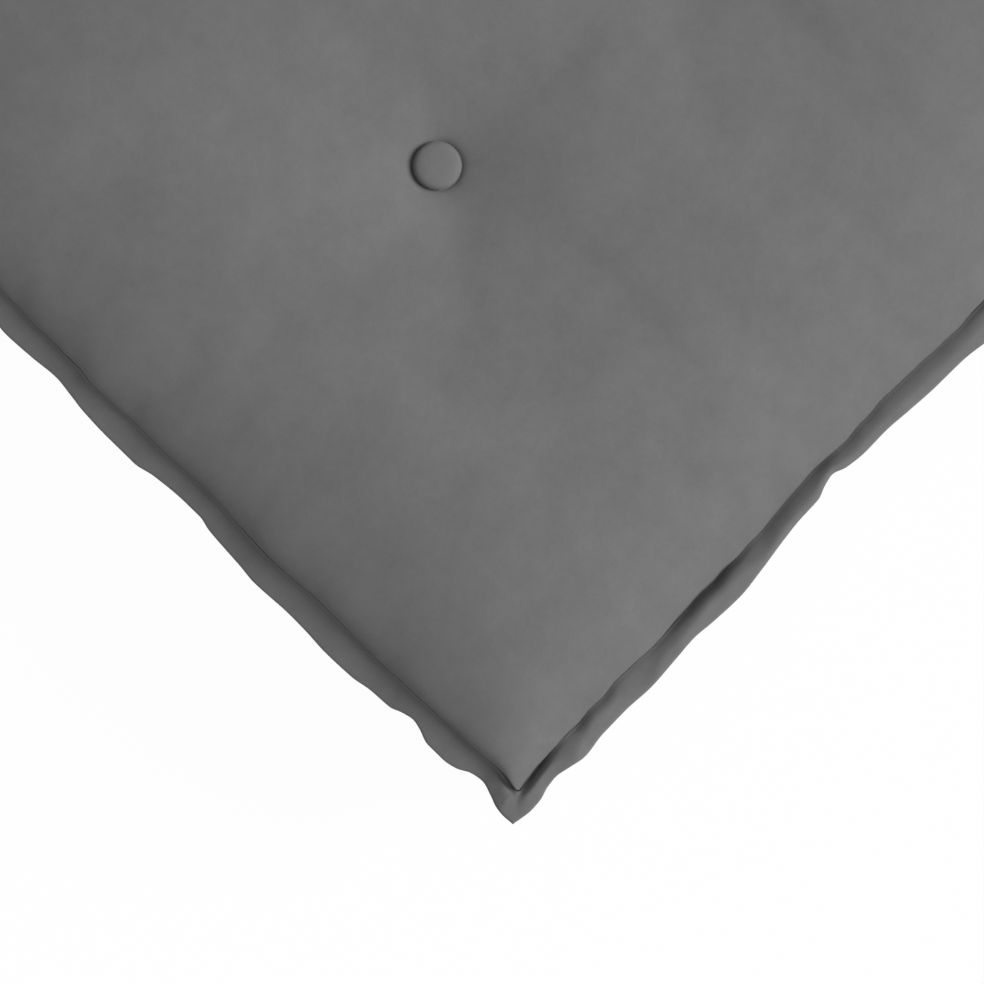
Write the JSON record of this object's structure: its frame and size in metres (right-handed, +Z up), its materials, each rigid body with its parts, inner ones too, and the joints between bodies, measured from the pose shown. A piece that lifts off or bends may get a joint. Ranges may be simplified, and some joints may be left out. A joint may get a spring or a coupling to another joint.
{
  "type": "tufted box back cushion",
  "caption": "Boxed rectangular back cushion in plain dark grey velvet, with a raised flange round both panels and a row of covered tufting buttons.",
  "frame": {"origin": "on the surface that the cushion lies on, under the middle of its outline", "axes": "+Z up, the way the front panel faces; +X along the cushion's length and its row of buttons; +Y across its width"},
  "size_m": [0.6034, 0.403, 0.1198],
  "materials": {
    "velvet_body": "plain dark grey short-pile velvet",
    "velvet_flange": "the same velvet, doubled and sewn into a raised edge",
    "velvet_button": "the same velvet, stretched over a button"
  },
  "bodies": {
    "root": {"cushion_body": "velvet_body", "front_flange": "velvet_flange", "back_flange": "velvet_flange", "button_1": "velvet_button", "button_2": "velvet_button", "button_3": "velvet_button"}
  },
  "joints": []
}
